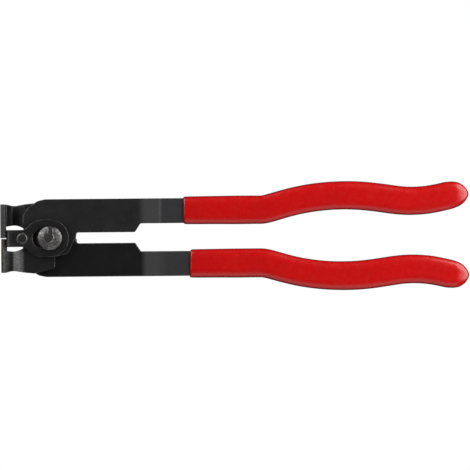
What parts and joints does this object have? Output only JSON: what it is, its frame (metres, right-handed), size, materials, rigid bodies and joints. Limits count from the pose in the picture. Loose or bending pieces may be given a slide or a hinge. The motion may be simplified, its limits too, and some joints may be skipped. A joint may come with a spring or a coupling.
{
  "type": "ear clamp pliers",
  "caption": "Ear clamp pliers: stamped steel levers cross at a rivet, wide bent jaws pinch a clamp's ear while a sliding centre blade holds it down, with red dipped grips.",
  "frame": {"origin": "on the pivot axis, at the flat rear face of the rivet, which the head of the tool rests on", "axes": "+X from the jaws to the grips along the tool's middle line, +Y towards the handle of the front lever, +Z along the pivot axis towards the domed head of the rivet"},
  "size_m": [0.2448, 0.057, 0.0133],
  "materials": {
    "black_steel": "black oxide, satin, with bright edges",
    "worn_steel": "worn grey, peened",
    "red_vinyl": "glossy dipped PVC"
  },
  "bodies": {
    "pivot": {"pivot_rivet": "worn_steel", "pivot_washer": "worn_steel"},
    "front_lever": {"front_lever": "black_steel", "upper_grip": "red_vinyl"},
    "rear_lever": {"rear_lever": "black_steel", "lower_grip": "red_vinyl"},
    "blade": {"centre_blade": "black_steel", "blade_pin": "black_steel"}
  },
  "joints": [
    {"name": "front_swing", "type": "hinge", "parent": "pivot", "child": "front_lever", "pos_m": [0, 0, 0.00615], "axis": [0, 0, 1], "range_deg": [-0.4, 14.5]},
    {"name": "rear_swing", "type": "hinge", "parent": "pivot", "child": "rear_lever", "pos_m": [0, 0, 0.00615], "axis": [0, 0, 1], "range_deg": [-14.5, 0.4]},
    {"name": "blade_slide", "type": "slide", "parent": "pivot", "child": "blade", "axis": [1, 0, 0], "range_m": [-0.0002, 0.0037]}
  ],
  "couplings": [
    {"joint": "rear_swing", "follows": "front_swing", "ratio": -1},
    {"joint": "blade_slide", "follows": "front_swing", "m_per_rad": 0.01462}
  ]
}
